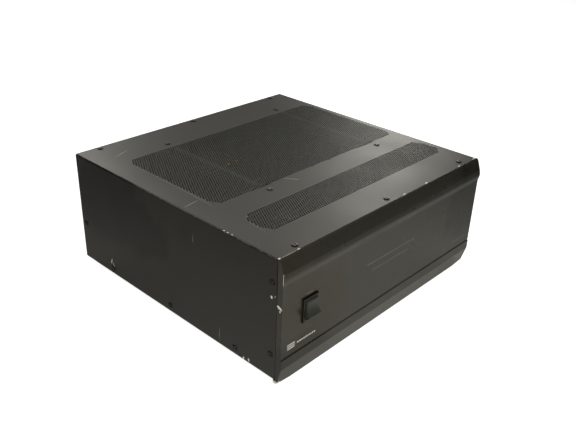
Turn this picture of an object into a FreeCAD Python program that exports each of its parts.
import FreeCAD, Part
import math
import os
import re

import Sketcher

# A five channel power amplifier: a painted steel case with a thick profiled front panel, one rocker
# switch, two heat sinks under a perforated cover, and its sockets at the back.
# Sketches are drawn in the case's own coordinates, in millimetres: X across the front from the
# middle, Y from the front edge of the cover to the back, Z up from the bottom edge of the cover.

SIZES = [
    # Case
    ("case_width", 430, "outside of the cover, side to side"),
    ("case_depth", 410, "front edge of the cover to its back edge"),
    ("case_rise", 171, "bottom edge of the cover to its top"),
    ("cover_sheet", 1.2, "sheet of the cover"),
    ("cover_bend", 2.4, "outer radius of the cover's two bends"),
    ("tray_sheet", 1.5, "sheet of the tray"),
    ("tray_lip", 17, "outside depth of the tray"),
    ("wall_sheet", 1.5, "sheet of the subpanel and the rear panel"),
    ("wall_lip", 16, "depth of their folded edges"),
    ("wall_corner", 2.6, "outer radius of their top corners"),
    ("lip_gap", 0.8, "air between a folded edge and the tray"),
    ("slot_wide", 4, "width of an air slot in the tray, along Y"),
    ("slot_pitch", 12, "slot to slot"),
    ("slot_count", 18, "slots under a heat sink"),
    ("slot_start", 6, "first slot behind the front of a heat sink"),
    ("slot_inset", 3, "slots inside the ends of the fins"),
    ("rear_setback", 0.5, "rear panel inside the cover's back edge"),
    # Vents
    ("vent_left", -178, "left end of both vents"),
    ("vent_right", 206, "right end of both vents"),
    ("back_vent_start", 144, "front of the vent over the heat sinks"),
    ("back_vent_end", 341, "back of the vent over the heat sinks"),
    ("front_vent_start", 49, "front of the vent over the transformer"),
    ("front_vent_end", 105, "back of the vent over the transformer"),
    ("vent_corner_across", 10, "cut corner of a vent, along X"),
    ("vent_corner_deep", 17, "cut corner of a vent, along Y"),
    ("vent_pitch", 15.2, "hole to hole in a row"),
    ("vent_hole", 10.4, "hole diameter"),
    # Front panel profile: distances in front of the cover and levels
    ("face_reach", 8.8, "flat face in front of the cover"),
    ("brow_reach", 10.8, "foremost line of the brow"),
    ("brow_level", 146, "level of that line"),
    ("brow_foot", 138, "level where the brow meets the flat face"),
    ("brow_top_reach", 4.4, "depth of the narrow flat top"),
    ("brow_shoulder_reach", 9.5, "reach of the brow's upper bend"),
    ("brow_shoulder_level", 154, "level of the brow's upper bend"),
    ("brow_round", 2.4, "radius along the brow"),
    ("groove_top", 35.4, "upper edge of the groove"),
    ("groove_bottom", 32.6, "lower edge of the groove"),
    ("groove_reach", 7.6, "bottom of the groove in front of the cover"),
    ("lip_reach", 9.5, "lower lip in front of the cover"),
    ("lip_level", 19, "level where the lower lip slopes back"),
    ("hem_drop", 7.7, "bottom of the panel below the cover"),
    ("hem_reach", 1.2, "front of that bottom edge, in front of the cover"),
    ("hem_back", 3, "back of that bottom edge, behind the cover's front edge"),
    ("hem_gap", 0.6, "air between the panel's bottom and the cover"),
    ("panel_screw_side", 190, "front panel screws from the middle"),
    ("panel_screw_top", 146, "level of the upper front panel screws"),
    ("panel_screw_low", 10, "level of the lower front panel screws"),
    # Feet
    ("foot_rise", 12, "floor to the bottom edge of the cover"),
    ("foot_radius", 20, "radius of a foot"),
    ("foot_side", 160, "feet from the middle, along X"),
    ("foot_front", 55, "front feet behind the cover's front edge"),
    ("foot_back", 375, "rear feet behind the cover's front edge"),
    ("foot_recess", 8, "radius of the recess for the screw head"),
    ("foot_web", 4, "rubber between the screw head and the tray"),
    ("foot_chamfer", 2, "chamfer round the sole"),
    # Fasteners
    ("screw_head", 3.8, "head radius of a case screw"),
    ("screw_rise", 2.3, "head height of a case screw"),
    ("screw_shank", 2, "shank radius of a case screw"),
    ("screw_reach", 7, "shank length of a case screw"),
    ("small_head", 2.7, "head radius of a small screw"),
    ("small_rise", 1.8, "head height of a small screw"),
    ("small_shank", 1.5, "shank radius of a small screw"),
    ("small_reach", 8, "shank length of a small screw"),
    ("clamp_head", 2.7, "head radius of a clamp screw"),
    ("clamp_rise", 1.8, "head height of a clamp screw"),
    ("clamp_shank", 1.5, "shank radius of a clamp screw"),
    ("clamp_reach", 14, "shank length of a clamp screw"),
    ("recess_wide", 0.9, "width of each arm of the cross recess"),
    ("hole_play", 0.15, "hole radius over shank radius"),
    ("front_row", 10, "front row of cover screws behind the edge"),
    ("back_row", 404, "rear row of cover screws behind the edge"),
    ("row_left", -177, "left screw of the front and rear rows"),
    ("row_middle", 1, "middle screw of those rows"),
    ("row_right", 182, "right screw of those rows"),
    ("side_front", 9, "front side screws behind the edge"),
    ("side_high", 137, "level of the upper side screws"),
    ("side_low", 34, "level of the lower front side screws"),
    ("side_bottom", 8.5, "level of the bottom side screws"),
    ("side_bottom_first", 72, "first bottom side screw"),
    ("side_bottom_middle", 203, "middle bottom side screw"),
    ("side_bottom_last", 338, "last bottom side screw"),
    ("side_back", 401, "rear side screw behind the front edge"),
    ("side_back_level", 60, "level of the rear side screw"),
    # Rocker switch
    ("switch_side", -166.4, "middle of the switch, along X"),
    ("switch_level", 89, "middle of the switch, level"),
    ("bezel_wide", 26.6, "bezel width"),
    ("bezel_tall", 34, "bezel height"),
    ("bezel_thick", 2.6, "bezel thickness on the panel"),
    ("switch_wide", 23, "width of the switch body"),
    ("switch_tall", 30.6, "height of the switch body"),
    ("switch_wall", 1.4, "wall of the switch body"),
    ("switch_back", 15, "back of the switch body behind the cover edge"),
    ("switch_play", 0.25, "cut-out over the body, each side"),
    ("rocker_radius", 13.6, "radius of the rocker's ends about its pin"),
    ("rocker_valley", 6.2, "pin to the rocker's middle crease"),
    ("rocker_skirt", 5, "pin to the rocker's back"),
    ("rocker_tilt", 16.5, "angle of each half of the rocker, degrees"),
    ("rocker_play", 0.3, "air at each side of the rocker"),
    ("pivot_depth", 3.6, "pin behind the bezel's front"),
    ("pivot_radius", 1.2, "radius of the pin"),
    ("pivot_play", 0.08, "bore in the rocker over the pin"),
    ("blade_wide", 6.3, "width of a flat terminal"),
    ("blade_thick", 0.8, "thickness of a flat terminal"),
    ("blade_reach", 9, "length of a flat terminal"),
    # Mains inlet and fuse
    ("inlet_side", -180, "middle of the inlet, along X"),
    ("inlet_level", 38, "middle of the inlet, level"),
    ("inlet_flange_wide", 50, "flange width"),
    ("inlet_flange_tall", 24, "flange height"),
    ("inlet_flange_thick", 3, "flange thickness"),
    ("inlet_body_wide", 27, "body width"),
    ("inlet_body_tall", 19.6, "body height"),
    ("inlet_body_deep", 18, "body behind the panel"),
    ("inlet_mouth_wide", 24.2, "socket width"),
    ("inlet_mouth_tall", 16.4, "socket height"),
    ("inlet_mouth_deep", 15, "socket depth behind the panel"),
    ("inlet_play", 0.3, "cut-out over the body, each side"),
    ("inlet_screw_side", 20, "flange screws from the inlet's middle"),
    ("prong_side", 7, "live and neutral prongs from the middle"),
    ("prong_offset", 2, "prongs above or below the middle"),
    ("prong_wide", 2, "prong thickness"),
    ("prong_tall", 4, "prong height"),
    ("prong_tag", 8, "solder tag behind the inlet"),
    ("fuse_level", 82, "middle of the fuse holder, level"),
    ("fuse_flange", 8.2, "flange radius"),
    ("fuse_flange_thick", 2, "flange thickness"),
    ("fuse_barrel", 6.2, "barrel radius"),
    ("fuse_barrel_deep", 31, "barrel behind the panel"),
    ("fuse_bore", 3.7, "bore radius of the barrel"),
    ("fuse_bore_deep", 28, "bore behind the panel"),
    ("fuse_radius", 2.6, "radius of the cartridge fuse"),
    ("fuse_long", 20, "length of the cartridge fuse"),
    ("cap_stem", 3.4, "radius of the cap's stem"),
    ("cap_grip", 7, "radius of the cap's grip"),
    ("cap_grip_long", 8, "length of the cap's grip"),
    ("cap_slot_long", 9.8, "length of the slot in the grip"),
    ("cap_slot_wide", 1.4, "width of that slot"),
    ("cap_slot_deep", 2, "depth of that slot"),
    ("turn_play", 0.2, "air between a turning cap and its seat"),
    # Signal inputs
    ("channel_first", -120, "middle of the first channel, along X"),
    ("channel_pitch", 70, "channel to channel"),
    ("jack_level", 128, "level of the input jacks"),
    ("jack_shell", 4.15, "outer radius of a jack"),
    ("jack_bore", 3.35, "inner radius of a jack's shell"),
    ("jack_reach", 9.5, "jack in front of the rear panel"),
    ("jack_flange", 6.5, "radius of a jack's flange"),
    ("jack_flange_thick", 1.8, "thickness of a jack's flange"),
    ("jack_recess", 1, "insulator inside the jack's rim"),
    ("jack_pin_hole", 1.65, "radius of the centre hole"),
    ("jack_pin_deep", 12, "depth of the centre hole"),
    ("jack_block", 12, "moulded block behind the panel, square"),
    ("jack_block_deep", 10, "depth of that block"),
    ("board_sheet", 1.6, "thickness of every circuit board"),
    ("input_board_margin", 20, "input board beyond the outer jacks"),
    ("input_board_half", 17, "half the height of the input board"),
    # Speaker binding posts
    ("post_level", 70, "level of the posts"),
    ("post_spacing", 19.05, "positive to negative post"),
    ("post_collar", 7, "radius of the insulating collar"),
    ("post_collar_thick", 4, "collar outside the panel"),
    ("post_neck", 4.5, "radius through the panel"),
    ("post_washer", 3, "collar inside the panel"),
    ("post_play", 0.1, "panel hole over the neck"),
    ("stud_radius", 3.5, "outer radius of the hollow stud"),
    ("stud_flange", 5.5, "radius of the stud's flange"),
    ("stud_flange_thick", 1, "thickness of the stud's flange"),
    ("stud_reach", 18, "stud in front of the rear panel"),
    ("stud_tail", 12, "stud behind the rear panel"),
    ("plug_bore", 2, "radius of the socket in the stud"),
    ("plug_bore_deep", 17, "depth of the socket in the stud"),
    ("nut_radius", 6.3, "corner radius of the hexagon nut"),
    ("nut_thick", 3.5, "nut thickness"),
    ("grip_radius", 6.8, "radius of a turning cap"),
    ("grip_reach", 21.3, "cap's end in front of the rear panel"),
    ("grip_mouth", 2.4, "radius of the hole in the cap's end"),
    ("grip_play", 0.08, "bore of a cap over the stud"),
    ("flute_radius", 0.9, "radius of a flute round a cap"),
    ("flute_start", 3, "plain band between a cap's seat and its flutes"),
    ("flute_count", 10, "flutes round a cap"),
    # Heat sinks and what is on them
    ("sink_left", -91.5, "middle of the left heat sink's web, along X"),
    ("sink_right", 145, "middle of the right heat sink's web, along X"),
    ("sink_start", 130, "front of both heat sinks"),
    ("sink_end", 358, "back of both heat sinks"),
    ("sink_web", 10, "web thickness"),
    ("fin_reach", 30, "fin length"),
    ("fin_thick", 2.4, "fin thickness"),
    ("fin_pitch", 9.6, "fin to fin"),
    ("fin_count", 24, "fins of a heat sink"),
    ("sink_screw_front", 134.5, "front screws of the heat sinks"),
    ("sink_screw_back", 353, "rear screws of the heat sinks"),
    ("device_first", 145, "first output device, along Y"),
    ("device_pitch", 22, "device to device"),
    ("device_count", 10, "output devices on a heat sink"),
    ("device_wide", 15.6, "device width"),
    ("device_tall", 20, "device height"),
    ("device_thick", 5, "device thickness"),
    ("device_level", 92, "bottom of the devices"),
    ("leg_wide", 1.2, "width of a device's leg"),
    ("leg_pitch", 5.45, "leg to leg"),
    ("leg_inset", 2.2, "legs in front of the web"),
    ("leg_thick", 0.6, "thickness of a leg"),
    ("clamp_low", 9, "clamp bar above the devices' bottom"),
    ("clamp_tall", 8, "height of the clamp bar"),
    ("clamp_thick", 4, "thickness of the clamp bar"),
    ("driver_level", 78, "underside of the driver boards"),
    ("driver_wide", 45, "width of a driver board"),
    ("driver_start", 136, "front of the driver boards"),
    ("driver_end", 352, "back of the driver boards"),
    ("driver_gap", 0.4, "driver board clear of the web"),
    ("standoff_radius", 3, "radius of a board spacer"),
    ("standoff_inset", 7, "spacers inside a board's edges"),
    ("relay_long", 29, "relay length"),
    ("relay_wide", 13, "relay width"),
    ("relay_tall", 25, "relay height"),
    # Power supply
    ("core_side", 20, "middle of the transformer, along X"),
    ("core_wide", 126, "laminated core, across"),
    ("core_tall", 105, "laminated core, height"),
    ("core_start", 44, "front of the laminations"),
    ("core_stack", 54, "thickness of the laminations"),
    ("core_leg", 42, "width of the core's middle leg"),
    ("core_yoke", 21, "width of the core's outer legs and yokes"),
    ("coil_bulge", 18, "winding in front of and behind the core"),
    ("coil_gap", 0.5, "air round the winding"),
    ("coil_round", 14, "corner radius of the winding"),
    ("bracket_sheet", 2, "sheet of the transformer brackets"),
    ("bracket_rise", 17, "height of the brackets"),
    ("bracket_foot", 16, "foot of the brackets"),
    ("core_bolt_side", 52, "core bolts from the transformer's middle"),
    ("core_bolt_level", 12, "level of the core bolts"),
    ("core_bolt_shank", 2, "radius of a core bolt"),
    ("supply_left", -32, "left edge of the supply board"),
    ("supply_right", 106, "right edge of the supply board"),
    ("supply_start", 150, "front of the supply board"),
    ("supply_end", 306, "back of the supply board"),
    ("supply_level", 11.5, "underside of the supply board"),
    ("can_radius", 20, "radius of a reservoir capacitor"),
    ("can_tall", 70, "height of a reservoir capacitor"),
    ("can_side", 33, "capacitors from the board's middle"),
    ("can_first", 184, "first pair of capacitors, along Y"),
    ("can_pitch", 46, "pair to pair"),
    ("can_round", 2.5, "radius round a capacitor's top"),
    ("bridge_wide", 28, "bridge rectifier, square"),
    ("bridge_tall", 10, "bridge rectifier, height"),
    ("bridge_start", 316, "front of the bridge rectifiers"),
    ("bridge_side", 28, "rectifiers from the board's middle"),
    # Bundled leads inside the case
    ("mains_lead", 5, "diameter of the mains leads' sleeve"),
    ("mains_lead_apart", 8, "the two mains leads apart on the switch"),
    ("supply_lead", 8, "diameter of the transformer leads' sleeve"),
    ("board_lead", 4, "diameter of a lead to a driver board"),
    ("speaker_lead", 2, "diameter of a speaker lead"),
    ("signal_lead", 4, "diameter of a screened signal bundle"),
    ("signal_inset", 18, "signal leads inside the driver boards' outer edges"),
]

# Places worked out from the sizes above
SIDE = "(case_width / 2)"
INSIDE = "(case_width / 2 - cover_sheet)"
CEILING = "(case_rise - cover_sheet)"
REAR_FACE = "(case_depth - rear_setback)"
REAR_PLATE = "(case_depth - rear_setback - wall_sheet)"
LIP_TOP = "(tray_lip + lip_gap)"
CASE_HOLE = "(screw_shank + hole_play)"
SMALL_HOLE = "(small_shank + hole_play)"
CLAMP_HOLE = "(clamp_shank + hole_play)"
BEZEL_FRONT = "(-face_reach - bezel_thick)"
PIVOT_Y = "(pivot_depth - face_reach - bezel_thick)"
SUPPLY_MIDDLE = "((supply_left + supply_right) / 2)"
CORE_END = "(core_start + core_stack)"
DRIVER_TOP = "(driver_level + board_sheet)"
SINKS = ["sink_left", "sink_right"]
DRIVER_EDGE = "sink_web / 2 + driver_gap"

TOP_FRONT_SCREWS = [("row_left", "front_row"), ("row_middle", "front_row"), ("row_right", "front_row")]
TOP_BACK_SCREWS = [("row_left", "back_row"), ("row_middle", "back_row"), ("row_right", "back_row")]
SINK_SCREWS = [(sink, row) for sink in SINKS for row in ("sink_screw_front", "sink_screw_back")]
SIDE_FRONT_SCREWS = [("side_front", "side_high"), ("side_front", "side_low")]
SIDE_BOTTOM_SCREWS = [
    ("side_bottom_first", "side_bottom"),
    ("side_bottom_middle", "side_bottom"),
    ("side_bottom_last", "side_bottom"),
]
SIDE_BACK_SCREWS = [("side_back", "side_back_level")]
PANEL_TOP_SCREWS = [("-panel_screw_side", "panel_screw_top"), ("0", "panel_screw_top"),
                    ("panel_screw_side", "panel_screw_top")]
PANEL_LOW_SCREWS = [("-panel_screw_side", "panel_screw_low"), ("0", "panel_screw_low"),
                    ("panel_screw_side", "panel_screw_low")]
FEET = [(side, row) for side in ("-foot_side", "foot_side") for row in ("foot_front", "foot_back")]
BRACKET_SCREWS = [
    (f"core_side {sign} core_bolt_side", row)
    for sign in "-+"
    for row in ("core_start - bracket_foot / 2 - 1", f"{CORE_END} + bracket_foot / 2 + 1")
]
CHANNELS = [f"(channel_first + {number} * channel_pitch)" for number in range(5)]
JACKS = [(channel, "jack_level") for channel in CHANNELS]
POSTS = [(f"{channel} {sign} post_spacing / 2", "post_level") for channel in CHANNELS for sign in "-+"]

doc = FreeCAD.newDocument("PowerAmplifier")
sizes = doc.addObject("Spreadsheet::Sheet", "Sizes")
for row_number, (alias, figure, meaning) in enumerate(SIZES, start=1):
    sizes.set(f"A{row_number}", alias)
    sizes.set(f"B{row_number}", str(figure))
    sizes.setAlias(f"B{row_number}", alias)
    sizes.set(f"C{row_number}", meaning)
doc.recompute()

ALIASES = {alias for alias, figure, meaning in SIZES}
reader = doc.addObject("Part::Vertex", "Reader")
nodes = []


def bound(text):
    """The expression with every size named as a cell of the sheet."""
    return re.sub(r"[a-z_]+", lambda word: "Sizes." + word.group() if word.group() in ALIASES
                  else word.group(), text)


def bind(thing, place, text):
    thing.setExpression(place, bound(text))


def number(text):
    """The present value of an expression."""
    bind(reader, "X", text)
    reader.recompute()
    return reader.X.Value


def stand_in_case(thing):
    """Puts an object drawn in the case's coordinates on its feet, over the middle of the case."""
    bind(thing, "Placement.Base.y", "-case_depth / 2")
    bind(thing, "Placement.Base.z", "foot_rise")


def new_body(label):
    body = doc.addObject("PartDesign::Body", label)
    body.Label = label
    body.AllowCompound = True
    stand_in_case(body)
    nodes.append(body)
    return body


def polygon(*corners):
    """A closed outline; every corner is held by its two distances from the sketch's origin."""
    def draw(sketch):
        first = sketch.GeometryCount
        count = len(corners)
        for index in range(count):
            start, end = 2 * math.pi * index / count, 2 * math.pi * (index + 1) / count
            sketch.addGeometry(Part.LineSegment(
                FreeCAD.Vector(math.cos(start), math.sin(start), 0),
                FreeCAD.Vector(math.cos(end), math.sin(end), 0)))
        for index in range(count):
            sketch.addConstraint(Sketcher.Constraint(
                "Coincident", first + index, 2, first + (index + 1) % count, 1))
        for index, (across, up) in enumerate(corners):
            hold(sketch, first + index, 1, across, up)
    return draw


def rectangle(left, low, right, high):
    return polygon((left, low), (right, low), (right, high), (left, high))


def block(across, up, wide, tall):
    """A rectangle by its middle and its two sizes."""
    return rectangle(f"{across} - {wide} / 2", f"{up} - {tall} / 2",
                     f"{across} + {wide} / 2", f"{up} + {tall} / 2")


def circle(across, up, radius):
    def draw(sketch):
        ring = sketch.addGeometry(Part.Circle(FreeCAD.Vector(0, 0, 0), FreeCAD.Vector(0, 0, 1), 1))
        hold(sketch, ring, 3, across, up)
        held = sketch.addConstraint(Sketcher.Constraint("Radius", ring, 1))
        bind(sketch, f"Constraints[{held}]", radius)
    return draw


def hexagon(across, up, radius):
    corners = []
    for index in range(6):
        turn = math.pi * index / 3
        corners.append((f"{across} + {radius} * {math.cos(turn):.6f}",
                        f"{up} + {radius} * {math.sin(turn):.6f}"))
    return polygon(*corners)


def circles(spots, radius):
    return [circle(across, up, radius) for across, up in spots]


def hold(sketch, geometry, point, across, up):
    for kind, text in (("DistanceX", across), ("DistanceY", up)):
        held = sketch.addConstraint(Sketcher.Constraint(kind, -1, 1, geometry, point, 1.0))
        bind(sketch, f"Constraints[{held}]", text)


def origin_part(body, role):
    return next(part for part in body.Origin.OriginFeatures if part.Role == role)


def new_sketch(body, plane, level, outlines):
    """A sketch on a plane of the body's origin, moved to a level along X, Y or Z."""
    sketch = body.newObject("Sketcher::SketchObject", "Sketch")
    sketch.AttachmentSupport = (origin_part(body, plane + "_Plane"), [""])
    sketch.MapMode = "FlatFace"
    bind(sketch, "AttachmentOffset.Base.z", f"-({level})" if plane == "XZ" else level)
    for draw in outlines:
        draw(sketch)
    return sketch


def pad(body, plane, low, high, *outlines):
    """Adds what lies between two levels along the plane's axis."""
    sketch = new_sketch(body, plane, low, outlines)
    feature = body.newObject("PartDesign::Pad", "Pad")
    feature.Profile = sketch
    feature.Reversed = plane == "XZ"
    bind(feature, "Length", f"({high}) - ({low})")
    body.Tip = feature
    doc.recompute()
    return feature


def cut(body, plane, low, high, *outlines):
    """Takes away what lies between two levels along the plane's axis."""
    before = body.Shape.Volume
    sketch = new_sketch(body, plane, low, outlines)
    feature = body.newObject("PartDesign::Pocket", "Pocket")
    feature.Profile = sketch
    feature.Reversed = plane != "XZ"
    bind(feature, "Length", f"({high}) - ({low})")
    body.Tip = feature
    doc.recompute()
    if not body.Shape.Volume < before - 1e-6:
        raise RuntimeError(f"a pocket of {body.Label} cuts nothing")
    return feature


def edges_where(body, test):
    """Names of the edges of the body's last feature whose middle passes the test."""
    names = []
    for index, edge in enumerate(body.Tip.Shape.Edges, start=1):
        if test(edge.CenterOfMass, edge):
            names.append(f"Edge{index}")
    if not names:
        raise RuntimeError(f"no edge of {body.Label} is where it should be")
    return names


def near(value, text):
    return abs(value - number(text)) < 0.02


def soften(body, kind, size, test):
    """A fillet or a chamfer on the edges that pass the test."""
    base, names = body.Tip, edges_where(body, test)
    feature = body.newObject("PartDesign::" + kind, kind)
    feature.Base = (base, names)
    bind(feature, "Radius" if kind == "Fillet" else "Size", size)
    body.Tip = feature
    doc.recompute()
    return feature


def repeat(body, axis, step, count, *features):
    """Copies features along an axis of the body's origin."""
    pattern = body.newObject("PartDesign::LinearPattern", "LinearPattern")
    pattern.Originals = list(features)
    pattern.Direction = (origin_part(body, axis + "_Axis"), [""])
    pattern.Mode = "Spacing"
    bind(pattern, "Offset", step)
    bind(pattern, "Occurrences", count)
    body.Tip = pattern
    doc.recompute()
    return pattern


def add_screws(body, plane, seat, outward, spots, size):
    """Pan head screws: the heads stand on the seat, outward is + or - along the plane's axis."""
    head, rise, shank, reach = (f"{size}_{part}" for part in ("head", "rise", "shank", "reach"))
    inward = "-" if outward == "+" else "+"
    heads = (seat, f"{seat} {outward} {rise}")
    shanks = (seat, f"{seat} {inward} {reach}")
    recess = (f"{seat} {outward} {rise} / 2", f"{seat} {outward} {rise} {outward} 1")
    in_order = slice(None) if outward == "+" else slice(None, None, -1)
    pad(body, plane, *heads[in_order], *circles(spots, head))
    top = heads[1]
    axis = {"YZ": "x", "XZ": "y", "XY": "z"}[plane]
    soften(body, "Chamfer", f"{rise} / 4", lambda middle, edge: near(getattr(middle, axis), top)
           and edge.Curve.TypeId == "Part::GeomCircle")
    pad(body, plane, *shanks[::-1][in_order], *circles(spots, shank))
    for wide, tall in ((f"{head} * 1.1", "recess_wide"), ("recess_wide", f"{head} * 1.1")):
        cut(body, plane, *recess[in_order],
            *[block(across, up, f"({wide})", f"({tall})") for across, up in spots])


def make_cover():
    """One sheet bent into a top and two sides, punched with two fields of holes."""
    blank = new_body("cover_blank")
    nodes.remove(blank)
    pad(blank, "XZ", "0", "case_depth", polygon(
        (f"-{SIDE}", "0"), (f"-{INSIDE}", "0"), (f"-{INSIDE}", CEILING), (INSIDE, CEILING),
        (INSIDE, "0"), (SIDE, "0"), (SIDE, "case_rise"), (f"-{SIDE}", "case_rise")))
    soften(blank, "Fillet", "cover_bend", lambda middle, edge:
           near(middle.z, "case_rise") and near(abs(middle.x), SIDE))
    soften(blank, "Fillet", "cover_bend - cover_sheet", lambda middle, edge:
           near(middle.z, CEILING) and near(abs(middle.x), INSIDE))
    cut(blank, "XY", f"{CEILING} - 1", "case_rise + 1",
        *circles(TOP_FRONT_SCREWS + TOP_BACK_SCREWS + SINK_SCREWS, CASE_HOLE))
    cut(blank, "YZ", f"-{SIDE} - 1", f"{SIDE} + 1",
        *circles(SIDE_FRONT_SCREWS + SIDE_BOTTOM_SCREWS + SIDE_BACK_SCREWS, CASE_HOLE))
    punches = doc.addObject("Part::Feature", "vent_punches")
    punches.Shape = Part.Compound(
        vent_punches("back_vent_start", "back_vent_end")
        + vent_punches("front_vent_start", "front_vent_end"))
    stand_in_case(punches)
    cover = doc.addObject("Part::Cut", "top_cover")
    cover.Label = "top_cover"
    cover.Base = blank
    cover.Tool = punches
    nodes.append(cover)


def vent_punches(start, end):
    """Staggered rows of round punches inside a rectangle with its corners cut off."""
    radius = number("vent_hole / 2")
    pitch = number("vent_pitch")
    row = pitch * math.sqrt(3) / 2
    left, right = number("vent_left") + radius, number("vent_right") - radius
    low, high = number(start) + radius, number(end) - radius
    corner_across, corner_deep = number("vent_corner_across"), number("vent_corner_deep")
    base = number(CEILING) - 1
    long = number("cover_sheet") + 2
    rows = int((high - low) / row + 1e-6) + 1
    columns = int((right - left) / pitch + 1e-6) + 1
    first_x = (left + right - (columns - 1) * pitch) / 2
    first_y = (low + high - (rows - 1) * row) / 2
    punches = []
    for row_index in range(rows):
        y = first_y + row_index * row
        for column in range(columns):
            x = first_x + column * pitch + (row_index % 2 - 0.5) * pitch / 2
            past_side = min(x - left, right - x) / corner_across
            past_end = min(y - low, high - y) / corner_deep
            if past_side >= -0.5 and past_side + past_end > 1:
                punches.append(Part.makeCylinder(radius, long, FreeCAD.Vector(x, y, base)))
    return punches


def make_front_panel():
    """A thick extruded panel: a rounded brow, a groove, and a hem that hangs below the case."""
    body = new_body("front_panel")
    pad(body, "YZ", f"-{SIDE}", SIDE, polygon(
        ("0", "-hem_gap"), ("0", "case_rise"), ("-brow_top_reach", "case_rise"),
        ("-brow_shoulder_reach", "brow_shoulder_level"), ("-brow_reach", "brow_level"),
        ("-face_reach", "brow_foot"), ("-face_reach", "groove_top"), ("-groove_reach", "groove_top"),
        ("-groove_reach", "groove_bottom"), ("-lip_reach", "groove_bottom"),
        ("-lip_reach", "lip_level"), ("-hem_reach", "-hem_drop"), ("hem_back", "-hem_drop"),
        ("hem_back", "-hem_gap")))
    soften(body, "Fillet", "brow_round", lambda middle, edge:
           near(middle.x, "0") and middle.z > number("brow_foot")
           and (near(middle.y, "-brow_reach") or near(middle.y, "-brow_shoulder_reach")))
    soften(body, "Fillet", "brow_round / 2", lambda middle, edge:
           near(middle.x, "0") and near(middle.y, "-brow_top_reach"))
    cut(body, "XZ", "-brow_reach - 1", "0", switch_cut_out())
    cut(body, "XZ", "-screw_reach + wall_sheet - 1", "0",
        *circles(PANEL_TOP_SCREWS, CASE_HOLE))
    cut(body, "XZ", "-screw_reach + wall_sheet + tray_sheet - 1", "0",
        *circles(PANEL_LOW_SCREWS, CASE_HOLE))


def switch_cut_out():
    return block("switch_side", "switch_level", "(switch_wide + 2 * switch_play)",
                 "(switch_tall + 2 * switch_play)")


def folded_wall(label, plate_start, plate_end, lip_start, lip_end):
    """A sheet wall with its top and side edges folded away from the outside."""
    body = new_body(label)
    outer_start = f"min({plate_start}; {lip_start})"
    outer_end = f"max({plate_end}; {lip_end})"
    pad(body, "XZ", outer_start, outer_end, rectangle(f"-{INSIDE}", "0", INSIDE, CEILING))
    soften(body, "Fillet", "wall_corner", lambda middle, edge:
           near(middle.z, CEILING) and near(abs(middle.x), INSIDE))
    cut(body, "XZ", lip_start, lip_end,
        rectangle(f"-{INSIDE} + wall_sheet", "-1", f"{INSIDE} - wall_sheet", f"{CEILING} - wall_sheet"))
    cut(body, "XZ", lip_start, lip_end, rectangle(f"-{INSIDE} - 1", "-1", f"{INSIDE} + 1", LIP_TOP))
    return body


def make_front_subpanel():
    body = folded_wall("front_subpanel", "0", "wall_sheet", "wall_sheet", "wall_lip")
    cut(body, "XZ", "-1", "wall_sheet + 1", switch_cut_out(),
        *circles(PANEL_TOP_SCREWS + PANEL_LOW_SCREWS, CASE_HOLE))
    cut(body, "XY", f"{CEILING} - wall_sheet - 1", f"{CEILING} + 1", *circles(TOP_FRONT_SCREWS, CASE_HOLE))
    cut(body, "YZ", f"-{SIDE}", SIDE, *circles(SIDE_FRONT_SCREWS, CASE_HOLE))


def make_rear_panel():
    body = folded_wall("rear_panel", REAR_PLATE, REAR_FACE, f"{REAR_FACE} - wall_lip", REAR_PLATE)
    cut(body, "XY", f"{CEILING} - wall_sheet - 1", f"{CEILING} + 1", *circles(TOP_BACK_SCREWS, CASE_HOLE))
    cut(body, "YZ", f"-{SIDE}", SIDE, *circles(SIDE_BACK_SCREWS, CASE_HOLE))
    cut(body, "XZ", f"{REAR_PLATE} - 1", f"{REAR_FACE} + 1",
        block("inlet_side", "inlet_level", "(inlet_body_wide + 2 * inlet_play)",
              "(inlet_body_tall + 2 * inlet_play)"),
        *circles(inlet_screw_spots(), SMALL_HOLE),
        circle("inlet_side", "fuse_level", "fuse_barrel + hole_play"),
        *circles(JACKS, "jack_bore + hole_play"),
        *circles(POSTS, "post_neck + post_play"),
        *circles(PANEL_LOW_SCREWS, CASE_HOLE))


def inlet_screw_spots():
    return [(f"inlet_side {sign} inlet_screw_side", "inlet_level") for sign in "-+"]


def make_tray():
    """The floor of the case, folded up all round, slotted for air under the heat sinks."""
    body = new_body("chassis_tray")
    pad(body, "XY", "0", "tray_lip", rectangle(f"-{INSIDE}", "wall_sheet", INSIDE, REAR_PLATE))
    cut(body, "XY", "tray_sheet", "tray_lip + 1", rectangle(
        f"-{INSIDE} + tray_sheet", "wall_sheet + tray_sheet",
        f"{INSIDE} - tray_sheet", f"{REAR_PLATE} - tray_sheet"))
    slots = cut(body, "XY", "-1", "tray_sheet + 1", *[rectangle(
        f"{sink} - sink_web / 2 - fin_reach + slot_inset", "sink_start + slot_start",
        f"{sink} - sink_web / 2 - slot_inset", "sink_start + slot_start + slot_wide")
        for sink in SINKS])
    repeat(body, "Y", "slot_pitch", "slot_count", slots)
    cut(body, "XY", "-1", "tray_sheet + 1", *circles(FEET + SINK_SCREWS + BRACKET_SCREWS, CASE_HOLE))
    cut(body, "YZ", f"-{SIDE}", SIDE, *circles(SIDE_BOTTOM_SCREWS, CASE_HOLE))
    cut(body, "XZ", "wall_sheet - 1", "wall_sheet + tray_sheet + 1", *circles(PANEL_LOW_SCREWS, CASE_HOLE))
    cut(body, "XZ", f"{REAR_PLATE} - tray_sheet - 1", f"{REAR_PLATE} + 1",
        *circles(PANEL_LOW_SCREWS, CASE_HOLE))


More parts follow.
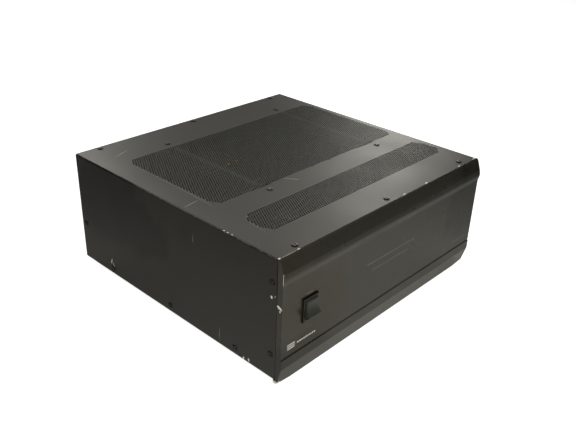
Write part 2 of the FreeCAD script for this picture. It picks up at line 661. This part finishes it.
def make_feet():
    feet = new_body("feet")
    pad(feet, "XY", "-foot_rise", "0", *circles(FEET, "foot_radius"))
    soften(feet, "Chamfer", "foot_chamfer", lambda middle, edge: near(middle.z, "-foot_rise"))
    cut(feet, "XY", "-foot_rise - 1", "-foot_web", *circles(FEET, "foot_recess"))
    cut(feet, "XY", "-foot_web - 1", "1", *circles(FEET, CASE_HOLE))
    screws = new_body("foot_screws")
    add_screws(screws, "XY", "-foot_web", "-", FEET, "screw")


def make_case_screws():
    top = new_body("cover_top_screws")
    add_screws(top, "XY", "case_rise", "+", TOP_FRONT_SCREWS + TOP_BACK_SCREWS + SINK_SCREWS, "screw")
    sides = new_body("cover_side_screws")
    spots = SIDE_FRONT_SCREWS + SIDE_BOTTOM_SCREWS + SIDE_BACK_SCREWS
    add_screws(sides, "YZ", f"-{SIDE}", "-", spots, "screw")
    add_screws(sides, "YZ", SIDE, "+", spots, "screw")
    front = new_body("front_panel_screws")
    add_screws(front, "XZ", "wall_sheet", "+", PANEL_TOP_SCREWS, "screw")
    add_screws(front, "XZ", "(wall_sheet + tray_sheet)", "+", PANEL_LOW_SCREWS, "screw")
    rear = new_body("rear_panel_screws")
    add_screws(rear, "XZ", REAR_FACE, "+", PANEL_LOW_SCREWS, "screw")
    base = new_body("base_screws")
    add_screws(base, "XY", "0", "-", SINK_SCREWS + BRACKET_SCREWS, "screw")


def make_switch():
    """A rocker in a moulded housing, clipped into the panel; its upper half is pressed in."""
    housing = new_body("switch_housing")
    pad(housing, "XZ", BEZEL_FRONT, "-face_reach",
        block("switch_side", "switch_level", "bezel_wide", "bezel_tall"))
    soften(housing, "Fillet", "bezel_thick / 3", lambda middle, edge: near(middle.y, BEZEL_FRONT))
    pad(housing, "XZ", "-face_reach", "switch_back",
        block("switch_side", "switch_level", "switch_wide", "switch_tall"))
    cut(housing, "XZ", f"{BEZEL_FRONT} - 1", "switch_back - switch_wall",
        block("switch_side", "switch_level", "(switch_wide - 2 * switch_wall)",
              "(switch_tall - 2 * switch_wall)"))
    cut(housing, "YZ", "switch_side - switch_wide / 2", "switch_side + switch_wide / 2",
        circle(PIVOT_Y, "switch_level", "pivot_radius"))

    pin = new_body("switch_pin")
    pad(pin, "YZ", "switch_side - switch_wide / 2", "switch_side + switch_wide / 2",
        circle(PIVOT_Y, "switch_level", "pivot_radius"))

    # The rocker is drawn level about its own pin, and its placement tilts it
    rocker = new_body("switch_rocker")
    rise = "rocker_radius * tan(rocker_tilt * 1 deg)"
    half = "(switch_wide / 2 - switch_wall - rocker_play)"
    pad(rocker, "YZ", f"-{half}", half, polygon(
        ("-rocker_valley", "0"), (f"-rocker_valley - {rise}", "rocker_radius"),
        ("rocker_skirt", "rocker_radius"), ("rocker_skirt", "-rocker_radius"),
        (f"-rocker_valley - {rise}", "-rocker_radius")))
    cut(rocker, "YZ", f"-{half} - 1", f"{half} + 1", circle("0", "0", "rocker_radius"),
        circle("0", "0", "rocker_radius * 2"))
    cut(rocker, "YZ", f"-{half} - 1", f"{half} + 1", circle("0", "0", "pivot_radius + pivot_play"))
    rocker.Placement.Rotation = FreeCAD.Rotation(FreeCAD.Vector(-1, 0, 0), 1)
    bind(rocker, "Placement.Rotation.Angle", "rocker_tilt * 1 deg")
    bind(rocker, "Placement.Base.x", "switch_side")
    bind(rocker, "Placement.Base.y", f"{PIVOT_Y} - case_depth / 2")
    bind(rocker, "Placement.Base.z", "switch_level + foot_rise")

    terminals = new_body("switch_terminals")
    pad(terminals, "XZ", "switch_back", "switch_back + blade_reach", *[
        block(f"switch_side {side} switch_wide / 4", f"switch_level {level} switch_tall / 4",
              "blade_thick", "blade_wide") for side in "-+" for level in "-+"])


def make_inlet():
    """A three prong appliance inlet in a screwed flange."""
    inlet = new_body("mains_inlet")
    pad(inlet, "XZ", REAR_FACE, f"{REAR_FACE} + inlet_flange_thick",
        block("inlet_side", "inlet_level", "inlet_flange_wide", "inlet_flange_tall"))
    soften(inlet, "Chamfer", "inlet_flange_tall / 4", lambda middle, edge:
           near(abs(middle.x - number("inlet_side")), "inlet_flange_wide / 2")
           and near(abs(middle.z - number("inlet_level")), "inlet_flange_tall / 2"))
    pad(inlet, "XZ", f"{REAR_FACE} - inlet_body_deep", REAR_FACE,
        block("inlet_side", "inlet_level", "inlet_body_wide", "inlet_body_tall"))
    mouth_floor = f"({REAR_FACE} - inlet_mouth_deep)"
    cut(inlet, "XZ", mouth_floor, f"{REAR_FACE} + inlet_flange_thick + 1",
        block("inlet_side", "inlet_level", "inlet_mouth_wide", "inlet_mouth_tall"))
    cut(inlet, "XZ", f"{REAR_FACE} - 1", f"{REAR_FACE} + inlet_flange_thick + 1",
        *circles(inlet_screw_spots(), SMALL_HOLE))
    prongs = [
        block("inlet_side - prong_side", "inlet_level - prong_offset", "prong_wide", "prong_tall"),
        block("inlet_side + prong_side", "inlet_level - prong_offset", "prong_wide", "prong_tall"),
        block("inlet_side", "inlet_level + prong_offset", "prong_wide", "prong_tall"),
    ]
    cut(inlet, "XZ", f"{REAR_FACE} - inlet_body_deep - 1", f"{mouth_floor} + 1", *prongs)
    pins = new_body("inlet_pins")
    pad(pins, "XZ", f"{REAR_FACE} - inlet_body_deep - prong_tag", REAR_FACE, *prongs)
    screws = new_body("inlet_screws")
    add_screws(screws, "XZ", f"({REAR_FACE} + inlet_flange_thick)", "+", inlet_screw_spots(), "small")


def make_fuse():
    """A barrel for one cartridge fuse, closed by a quarter turn cap with a slot."""
    spot = ("inlet_side", "fuse_level")
    holder = new_body("fuse_holder")
    flange_face = f"({REAR_FACE} + fuse_flange_thick)"
    pad(holder, "XZ", REAR_FACE, flange_face, circle(*spot, "fuse_flange"))
    pad(holder, "XZ", f"{REAR_FACE} - fuse_barrel_deep", REAR_FACE, circle(*spot, "fuse_barrel"))
    bore_floor = f"({REAR_FACE} - fuse_bore_deep)"
    cut(holder, "XZ", bore_floor, f"{flange_face} + 1", circle(*spot, "fuse_bore"))
    link = new_body("fuse_link")
    pad(link, "XZ", bore_floor, f"{bore_floor} + fuse_long", circle(*spot, "fuse_radius"))
    cap = new_body("fuse_cap")
    grip_start = f"({flange_face} + turn_play)"
    grip_end = f"({grip_start} + cap_grip_long)"
    pad(cap, "XZ", grip_start, grip_end, circle(*spot, "cap_grip"))
    soften(cap, "Chamfer", "cap_grip_long / 10", lambda middle, edge: near(middle.y, grip_end))
    pad(cap, "XZ", f"{bore_floor} + fuse_long + turn_play", grip_start, circle(*spot, "cap_stem"))
    cut(cap, "XZ", f"{grip_end} - cap_slot_deep", f"{grip_end} + 1",
        block(*spot, "cap_slot_long", "cap_slot_wide"))


def make_inputs():
    """Five phono jacks on one upright board."""
    shells = new_body("input_jacks")
    pad(shells, "XZ", REAR_FACE, f"{REAR_FACE} + jack_flange_thick", *circles(JACKS, "jack_flange"))
    pad(shells, "XZ", REAR_FACE, f"{REAR_FACE} + jack_reach", *circles(JACKS, "jack_shell"))
    cut(shells, "XZ", f"{REAR_FACE} - 1", f"{REAR_FACE} + jack_reach + 1", *circles(JACKS, "jack_bore"))
    insulators = new_body("jack_insulators")
    board_face = f"({REAR_PLATE} - jack_block_deep)"
    nose = f"({REAR_FACE} + jack_reach - jack_recess)"
    pad(insulators, "XZ", board_face, REAR_PLATE,
        *[block(*spot, "jack_block", "jack_block") for spot in JACKS])
    pad(insulators, "XZ", REAR_PLATE, nose, *circles(JACKS, "jack_bore - hole_play / 3"))
    cut(insulators, "XZ", f"{nose} - jack_pin_deep", f"{nose} + 1", *circles(JACKS, "jack_pin_hole"))
    board = new_body("input_board")
    pad(board, "XZ", f"{board_face} - board_sheet", board_face, rectangle(
        f"{CHANNELS[0]} - input_board_margin", "jack_level - input_board_half",
        f"{CHANNELS[-1]} + input_board_margin", "jack_level + input_board_half"))


def make_posts():
    """Ten insulated binding posts, a positive and a negative one for each channel."""
    collar_face = f"({REAR_FACE} + post_collar_thick)"
    washer_face = f"({REAR_PLATE} - post_washer)"
    bases = new_body("post_bases")
    pad(bases, "XZ", washer_face, collar_face, *circles(POSTS, "post_collar"))
    cut(bases, "XZ", REAR_PLATE, REAR_FACE,
        *circles(POSTS, "post_neck"), *circles(POSTS, "post_collar + 1"))
    cut(bases, "XZ", f"{washer_face} - 1", f"{collar_face} + 1",
        *circles(POSTS, "stud_radius + hole_play / 3"))
    studs = new_body("post_studs")
    stud_end = f"({REAR_FACE} + stud_reach)"
    pad(studs, "XZ", f"{REAR_PLATE} - stud_tail", stud_end, *circles(POSTS, "stud_radius"))
    pad(studs, "XZ", collar_face, f"{collar_face} + stud_flange_thick", *circles(POSTS, "stud_flange"))
    cut(studs, "XZ", f"{stud_end} - plug_bore_deep", f"{stud_end} + 1", *circles(POSTS, "plug_bore"))
    nuts = new_body("post_nuts")
    pad(nuts, "XZ", f"{washer_face} - nut_thick", washer_face,
        *[hexagon(f"({across})", up, "nut_radius") for across, up in POSTS])
    cut(nuts, "XZ", f"{washer_face} - nut_thick - 1", f"{washer_face} + 1",
        *circles(POSTS, "stud_radius"))
    for index, (across, up) in enumerate(POSTS):
        colour = "black" if index % 2 == 0 else "red"
        make_post_cap(f"channel_{index // 2 + 1}_{colour}_cap", across)


def make_post_cap(label, across):
    """A fluted cap, drawn about its own axis, that screws down the hollow stud."""
    cap = new_body(label)
    grip_start = "(post_collar_thick + stud_flange_thick + turn_play)"
    pad(cap, "XZ", grip_start, "grip_reach", circle("0", "0", "grip_radius"))
    soften(cap, "Chamfer", "grip_radius / 8", lambda middle, edge: near(middle.y, "grip_reach"))
    flute = cut(cap, "XZ", f"{grip_start} + flute_start", "grip_reach + 1",
                circle("grip_radius + flute_radius / 4", "0", "flute_radius"))
    ring = cap.newObject("PartDesign::PolarPattern", "PolarPattern")
    ring.Originals = [flute]
    ring.Axis = (origin_part(cap, "Y_Axis"), [""])
    bind(ring, "Occurrences", "flute_count")
    cap.Tip = ring
    doc.recompute()
    cut(cap, "XZ", f"{grip_start} - 1", "stud_reach + turn_play",
        circle("0", "0", "stud_radius + grip_play"))
    cut(cap, "XZ", "stud_reach", "grip_reach + 1", circle("0", "0", "grip_mouth"))
    bind(cap, "Placement.Base.x", across)
    bind(cap, "Placement.Base.y", f"{REAR_FACE} - case_depth / 2")
    bind(cap, "Placement.Base.z", "post_level + foot_rise")


def make_heat_sink(label, sink):
    """An extruded heat sink: one thick upright web with fins on its left."""
    body = new_body(label)
    pad(body, "XY", "tray_sheet", CEILING, rectangle(
        f"{sink} - sink_web / 2", "sink_start", f"{sink} + sink_web / 2", "sink_end"))
    first_fin = "(sink_start + sink_end - (fin_count - 1) * fin_pitch) / 2"
    fin = pad(body, "XY", "tray_sheet", CEILING, rectangle(
        f"{sink} - sink_web / 2 - fin_reach", f"{first_fin} - fin_thick / 2",
        f"{sink} - sink_web / 2", f"{first_fin} + fin_thick / 2"))
    repeat(body, "Y", "fin_pitch", "fin_count", fin)
    for low, high in ((f"{CEILING} - screw_reach", f"{CEILING} + 1"), ("0", "tray_sheet + screw_reach")):
        cut(body, "XY", low, high,
            *circles([(sink, "sink_screw_front"), (sink, "sink_screw_back")], CASE_HOLE))
    screw_tip = f"({sink} + sink_web / 2 + device_thick + clamp_thick - clamp_reach)"
    cut(body, "YZ", f"{screw_tip} - 1", f"{sink} + sink_web / 2 + 1",
        *circles(clamp_screw_spots(), CLAMP_HOLE))


def clamp_screw_spots():
    level = "device_level + clamp_low + clamp_tall / 2"
    return [(f"device_first + {half} * device_pitch", level) for half in ("0.5", "4.5", "8.5")]


def make_output_stage():
    """A row of output devices on each heat sink, pressed on by a bar, over a driver board."""
    devices = new_body("output_transistors")
    for sink in SINKS:
        face = f"{sink} + sink_web / 2"
        case = pad(devices, "YZ", face, f"{face} + device_thick", rectangle(
            "device_first - device_wide / 2", "device_level",
            "device_first + device_wide / 2", "device_level + device_tall"))
        legs = pad(devices, "YZ", f"{face} + leg_inset", f"{face} + leg_inset + leg_thick", *[
            rectangle(f"device_first + {leg} * leg_pitch - leg_wide / 2", DRIVER_TOP,
                      f"device_first + {leg} * leg_pitch + leg_wide / 2", "device_level")
            for leg in (-1, 0, 1)])
        repeat(devices, "Y", "device_pitch", "device_count", case, legs)
    clamps = new_body("transistor_clamps")
    screws = new_body("clamp_screws")
    relays = new_body("speaker_relays")
    standoffs = new_body("board_standoffs")
    for sink, side, relay_rows in ((SINKS[0], "left", (1, 3, 5)), (SINKS[1], "right", (2, 4))):
        bar = f"({sink} + sink_web / 2 + device_thick)"
        pad(clamps, "YZ", bar, f"{bar} + clamp_thick", rectangle(
            "device_first - device_wide / 2", "device_level + clamp_low",
            "device_first + 9 * device_pitch + device_wide / 2",
            "device_level + clamp_low + clamp_tall"))
        cut(clamps, "YZ", f"{bar} - 1", f"{bar} + clamp_thick + 1",
            *circles(clamp_screw_spots(), CLAMP_HOLE))
        add_screws(screws, "YZ", f"({bar} + clamp_thick)", "+", clamp_screw_spots(), "clamp")
        board = new_body(f"driver_board_{side}")
        left = f"({sink} + {DRIVER_EDGE})"
        right = f"({left} + driver_wide)"
        pad(board, "XY", "driver_level", DRIVER_TOP, rectangle(left, "driver_start", right, "driver_end"))
        pad(standoffs, "XY", "tray_sheet", "driver_level", *circles(
            [(across, along)
             for across in (f"{left} + standoff_inset", f"{right} - standoff_inset")
             for along in ("driver_start + standoff_inset", "driver_end - standoff_inset")],
            "standoff_radius"))
        pad(relays, "XY", DRIVER_TOP, f"{DRIVER_TOP} + relay_tall", *[
            block(f"({right} - relay_wide)", f"(driver_start + {row} * (driver_end - driver_start) / 6)",
                  "relay_wide", "relay_long") for row in relay_rows])


def make_transformer():
    """A laminated mains transformer between two folded brackets."""
    core = new_body("transformer_core")
    floor, roof = "tray_sheet", "(tray_sheet + core_tall)"
    pad(core, "XZ", "core_start", CORE_END, rectangle(
        "core_side - core_wide / 2", floor, "core_side + core_wide / 2", roof))
    cut(core, "XZ", "core_start", CORE_END, *[
        rectangle(f"core_side {sign} core_leg / 2", f"{floor} + core_yoke",
                  f"core_side {sign} (core_wide / 2 - core_yoke)", f"{roof} - core_yoke")
        for sign in "-+"])
    bolts_at = [(f"core_side {sign} core_bolt_side", "core_bolt_level") for sign in "-+"]
    cut(core, "XZ", "core_start", CORE_END, *circles(bolts_at, "core_bolt_shank + hole_play"))

    coil = new_body("transformer_coil")
    inner_x, inner_y = "(core_leg / 2 + coil_gap)", "coil_gap"
    outer_x = "(core_wide / 2 - core_yoke - coil_gap)"
    pad(coil, "XY", f"{floor} + core_yoke", f"{roof} - core_yoke - coil_gap", rectangle(
        f"core_side - {outer_x}", "core_start - coil_bulge",
        f"core_side + {outer_x}", f"{CORE_END} + coil_bulge"))
    soften(coil, "Fillet", "coil_round", lambda middle, edge:
           near(abs(middle.x - number("core_side")), outer_x)
           and (near(middle.y, "core_start - coil_bulge") or near(middle.y, f"{CORE_END} + coil_bulge")))
    cut(coil, "XY", f"{floor} + core_yoke", f"{roof} - core_yoke", rectangle(
        f"core_side - {inner_x}", f"core_start - {inner_y}",
        f"core_side + {inner_x}", f"{CORE_END} + {inner_y}"))

    brackets = new_body("transformer_brackets")
    for face, away in (("core_start", "-"), (CORE_END, "+")):
        pad(brackets, "YZ", "core_side - core_wide / 2", "core_side + core_wide / 2", polygon(
            (face, floor), (f"{face} {away} bracket_foot", floor),
            (f"{face} {away} bracket_foot", f"{floor} + bracket_sheet"),
            (f"{face} {away} bracket_sheet", f"{floor} + bracket_sheet"),
            (f"{face} {away} bracket_sheet", f"{floor} + bracket_rise"),
            (face, f"{floor} + bracket_rise")))
    cut(brackets, "XZ", "core_start - bracket_sheet - 1", f"{CORE_END} + bracket_sheet + 1",
        *circles(bolts_at, "core_bolt_shank + hole_play"))
    cut(brackets, "XY", "0", f"{floor} + bracket_sheet + 1", *circles(BRACKET_SCREWS, CASE_HOLE))

    bolts = new_body("transformer_bolts")
    start, end = "(core_start - bracket_sheet)", f"({CORE_END} + bracket_sheet)"
    pad(bolts, "XZ", start, end, *circles(bolts_at, "core_bolt_shank"))
    for low, high in ((f"{start} - small_rise", start), (end, f"{end} + small_rise")):
        pad(bolts, "XZ", low, high, *[hexagon(f"({across})", up, "screw_head") for across, up in bolts_at])


def make_supply():
    """Reservoir capacitors on a low board, with two rectifiers behind it."""
    board = new_body("supply_board")
    board_top = "(supply_level + board_sheet)"
    pad(board, "XY", "supply_level", board_top,
        rectangle("supply_left", "supply_start", "supply_right", "supply_end"))
    standoffs = new_body("supply_standoffs")
    pad(standoffs, "XY", "tray_sheet", "supply_level", *circles(
        [(across, along)
         for across in ("supply_left + standoff_inset", SUPPLY_MIDDLE, "supply_right - standoff_inset")
         for along in ("supply_start + standoff_inset", "supply_end - standoff_inset")],
        "standoff_radius"))
    cans = new_body("reservoir_capacitors")
    can_top = f"{board_top} + can_tall"
    pad(cans, "XY", board_top, can_top, *circles(
        [(f"{SUPPLY_MIDDLE} {sign} can_side", f"can_first + {pair} * can_pitch")
         for sign in "-+" for pair in range(3)], "can_radius"))
    soften(cans, "Fillet", "can_round", lambda middle, edge: near(middle.z, can_top))
    bridges = new_body("bridge_rectifiers")
    pad(bridges, "XY", "tray_sheet", "tray_sheet + bridge_tall", *[
        block(f"({SUPPLY_MIDDLE} {sign} bridge_side)", "(bridge_start + bridge_wide / 2)",
              "bridge_wide", "bridge_wide") for sign in "-+"])


def lead(diameter, *corners):
    """A round lead: straight runs joined by tangent arcs as large as the runs allow."""
    points = [FreeCAD.Vector(*[number(text) for text in corner]) for corner in corners]
    edges = []
    last = points[0]
    for before, corner, after in zip(points, points[1:], points[2:]):
        back, on = (before - corner), (after - corner)
        half_turn = (math.pi - back.getAngle(on)) / 2
        trim = 0.45 * min(back.Length, on.Length)
        radius = trim / math.tan(half_turn)
        back.normalize()
        on.normalize()
        start, end = corner + back * trim, corner + on * trim
        inward = back + on
        inward.normalize()
        centre = corner + inward * (radius / math.cos(half_turn))
        toward = corner - centre
        toward.normalize()
        edges.append(Part.LineSegment(last, start).toShape())
        edges.append(Part.Arc(start, centre + toward * radius, end).toShape())
        last = end
    edges.append(Part.LineSegment(last, points[-1]).toShape())
    path = Part.Wire(edges)
    along = points[1] - points[0]
    along.normalize()
    ring = Part.Wire(Part.Circle(points[0], along, diameter / 2).toShape())
    tube = path.makePipeShell([ring], True, False)
    expected = math.pi * diameter ** 2 / 4 * path.Length
    if abs(tube.Volume / expected - 1) > 0.01:
        raise RuntimeError("a lead does not follow its path")
    return tube


def new_leads(label, *tubes):
    bundle = doc.addObject("Part::Feature", label)
    bundle.Label = label
    bundle.Shape = Part.Compound(list(tubes)) if len(tubes) > 1 else tubes[0]
    stand_in_case(bundle)
    nodes.append(bundle)


def make_leads():
    """The sleeved bundles that join inlet, switch, transformer, boards, jacks and posts."""
    make_mains_leads()
    make_supply_leads()
    new_leads("speaker_leads", *[
        speaker_lead(SINKS[0], place, 6, POSTS[place][0]) for place in range(6)], *[
        speaker_lead(SINKS[1], place, 4, POSTS[6 + place][0]) for place in range(4)])
    board_back = f"({REAR_PLATE} - jack_block_deep - board_sheet)"
    tubes = []
    for sink in SINKS:
        across = f"{sink} + {DRIVER_EDGE} + driver_wide - signal_inset"
        tubes.append(lead(
            number("signal_lead"),
            (across, board_back, "jack_level - 6"), (across, f"{board_back} - 24", "jack_level - 6"),
            (across, "driver_end - 8", "jack_level - 20"), (across, "driver_end - 8", DRIVER_TOP)))
    new_leads("signal_leads", *tubes)


def make_mains_leads():
    """One lead from the inlet to the switch, and one from there to the transformer."""
    tags = f"({REAR_FACE} - inlet_body_deep - prong_tag)"
    blades = "(switch_back + blade_reach)"
    wall = f"(-{INSIDE} + 20)"
    above_tray = "(tray_lip + mains_lead)"
    upper = "(switch_level + mains_lead_apart / 2)"
    lower = "(switch_level - mains_lead_apart / 2)"
    coil_front = "(core_start - coil_bulge)"
    coil_side = "(core_side - 10)"
    incoming = lead(
        number("mains_lead"),
        ("inlet_side", tags, "inlet_level"), ("inlet_side", f"{tags} - 30", "inlet_level"),
        (wall, f"{tags} - 75", above_tray), (wall, f"{blades} + 110", above_tray),
        ("switch_side", f"{blades} + 60", f"{upper} - 20"),
        ("switch_side", f"{blades} + 25", upper), ("switch_side", "switch_back", upper))
    switched = lead(
        number("mains_lead"),
        ("switch_side", "switch_back", lower), ("switch_side", f"{blades} + 10", lower),
        ("switch_side + 56", f"{blades} + 10", "core_tall / 2 + 8"),
        (coil_side, f"{coil_front} - 12", "core_tall / 2"), (coil_side, coil_front, "core_tall / 2"))
    new_leads("mains_leads", incoming, switched)


def make_supply_leads():
    """The transformer's lead to the supply board, and one from there to each driver board."""
    coil_back = f"({CORE_END} + coil_bulge)"
    board_top = "supply_level + board_sheet"
    driver_edge_level = "(driver_level + board_sheet / 2)"
    left_board = f"({SINKS[0]} + {DRIVER_EDGE} + driver_wide)"
    right_board = f"({SINKS[1]} + {DRIVER_EDGE} + driver_wide / 2)"
    from_coil = lead(
        number("supply_lead"),
        ("core_side", coil_back, "core_tall / 2"), ("core_side", f"{coil_back} + 20", "core_tall / 2"),
        ("core_side", "supply_start + 8", "core_tall / 3"),
        ("core_side", "supply_start + 8", board_top))
    to_left = lead(
        number("board_lead"),
        ("supply_left + 6", "can_first + can_pitch / 2", board_top),
        ("supply_left + 6", "can_first + can_pitch / 2", driver_edge_level),
        (left_board, "can_first + can_pitch / 2", driver_edge_level))
    to_right = lead(
        number("board_lead"),
        ("supply_right - 6", "supply_start + 5", board_top),
        ("supply_right - 6", "supply_start + 5", f"{driver_edge_level} - 30"),
        ("supply_right - 2", "sink_start - 12", driver_edge_level),
        (right_board, "sink_start - 12", driver_edge_level),
        (right_board, "driver_start", driver_edge_level))
    new_leads("supply_leads", from_coil, to_left, to_right)


def speaker_lead(sink, place, count, post):
    """From a driver board's back edge to the tail of one stud."""
    start_x = f"({sink} + {DRIVER_EDGE} + ({place} + 0.5) * driver_wide / {count})"
    tail = f"({REAR_PLATE} - stud_tail)"
    level = "(driver_level + board_sheet / 2)"
    return lead(
        number("speaker_lead"),
        (start_x, "driver_end", level), (start_x, "sink_end + 6", level),
        (post, f"{tail} - 6", "post_level"), (post, tail, "post_level"))


def check_and_write():
    """Stops on any failed object or bad solid, then writes one file for each node."""
    doc.recompute()
    for thing in doc.Objects:
        if "Invalid" in thing.State or "Error" in thing.State:
            raise RuntimeError(f"{thing.Name} failed: {thing.State}")
    for node in nodes:
        if node.Shape.isNull() or not node.Shape.isValid() or not node.Shape.Solids:
            raise RuntimeError(f"{node.Label} has no valid solid")
    os.makedirs("parts", exist_ok=True)
    for node in nodes:
        node.Shape.exportStep(f"parts/{node.Label}.step")
        print(f"{node.Label}: {len(node.Shape.Solids)} solids, {node.Shape.Volume / 1000:.1f} cm3")


make_cover()
make_front_panel()
make_front_subpanel()
make_tray()
make_rear_panel()
make_feet()
make_case_screws()
make_switch()
make_inlet()
make_fuse()
make_inputs()
make_posts()
for sink_name in SINKS:
    make_heat_sink("heat_" + sink_name, sink_name)
make_output_stage()
make_transformer()
make_supply()
make_leads()
check_and_write()
